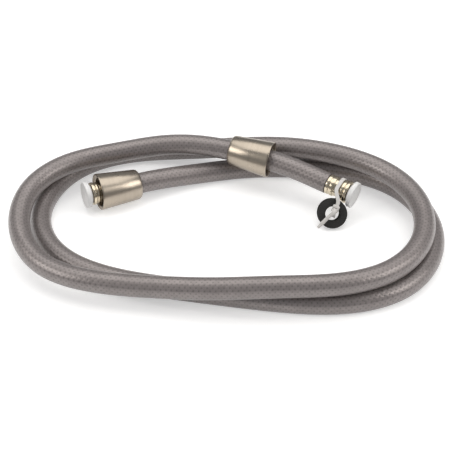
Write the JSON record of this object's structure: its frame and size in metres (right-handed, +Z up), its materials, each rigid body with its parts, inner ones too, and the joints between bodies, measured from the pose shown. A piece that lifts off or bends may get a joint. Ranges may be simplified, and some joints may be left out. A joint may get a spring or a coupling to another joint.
{
  "type": "handheld bath sprayer hose",
  "caption": "Coiled braid-reinforced hose for a hand or pet-wash sprayer, with a swivel nut at each end, capped fittings and spare washers on a cable tie.",
  "frame": {"origin": "on the surface that the coil lies on, under the middle of the whole object", "axes": "+X along the coil's long way, +Y to the back of the coil, +Z up"},
  "size_m": [0.2729, 0.1646, 0.0331],
  "materials": {
    "pvc_jacket": "smooth translucent grey PVC with a diagonal braid showing through",
    "braid": "grey polyester braid",
    "inner_tube": "plain white tube",
    "polished_fitting": "polished, pale gold",
    "brushed_nut": "brushed, champagne nickel",
    "nylon_bush": "plain moulded nylon",
    "cap_plastic": "soft white, slightly translucent",
    "washer_rubber": "matt black",
    "tie_nylon": "off-white nylon"
  },
  "bodies": {
    "hose": {"hose_jacket": "pvc_jacket", "hose_braid": "braid", "hose_inner_tube": "inner_tube", "nipple_a": "polished_fitting", "nipple_b": "polished_fitting", "ferrule_a": "polished_fitting", "ferrule_b": "polished_fitting"},
    "bush_a": {"guide_bush_a": "nylon_bush"},
    "bush_b": {"guide_bush_b": "nylon_bush"},
    "swivel_a": {"nut_a": "brushed_nut"},
    "swivel_b": {"nut_b": "brushed_nut"},
    "plug_a": {"cap_a": "cap_plastic"},
    "plug_b": {"cap_b": "cap_plastic"},
    "tie": {"cable_tie": "tie_nylon"},
    "front_washer": {"washer_1": "washer_rubber"},
    "back_washer": {"washer_2": "washer_rubber"}
  },
  "joints": [
    {"name": "nut_a_slide", "type": "slide", "parent": "hose", "child": "bush_a", "axis": [-0.9161, -0.3983, 0.0454], "range_m": [-0.003, 0.0128]},
    {"name": "nut_a_spin", "type": "hinge", "parent": "bush_a", "child": "swivel_a", "pos_m": [-0.08347, 0.02294, 0.01198], "axis": [-0.9148, -0.3978, 0.0698], "continuous": true},
    {"name": "nut_b_travel", "type": "hinge", "parent": "hose", "child": "bush_b", "pos_m": [-0.05008, -0.13522, -0.01398], "axis": [0, 0.1908, -0.9816], "range_deg": [-1, 11]},
    {"name": "nut_b_spin", "type": "hinge", "parent": "bush_b", "child": "swivel_b", "pos_m": [0.0292, 0.04541, 0.02113], "axis": [0.9404, -0.3337, -0.0649], "continuous": true},
    {"name": "cap_a_pull", "type": "slide", "parent": "hose", "child": "plug_a", "axis": [-0.9161, -0.3983, 0.0454], "range_m": [0, 0.01]},
    {"name": "cap_b_pull", "type": "slide", "parent": "hose", "child": "plug_b", "axis": [0.8524, -0.5133, -0.0998], "range_m": [0, 0.01]},
    {"name": "tie_swing", "type": "hinge", "parent": "hose", "child": "tie", "pos_m": [0.07333, 0.02079, 0.01634], "axis": [-0.8524, 0.5133, 0.0998], "range_deg": [0, 60]},
    {"name": "washer_1_spin", "type": "hinge", "parent": "tie", "child": "front_washer", "pos_m": [0.06776, 0.00482, 0.00859], "axis": [0, -0.766, 0.6428], "continuous": true},
    {"name": "washer_2_spin", "type": "hinge", "parent": "tie", "child": "back_washer", "pos_m": [0.06716, 0.00716, 0.00781], "axis": [0, -0.766, 0.6428], "continuous": true}
  ]
}
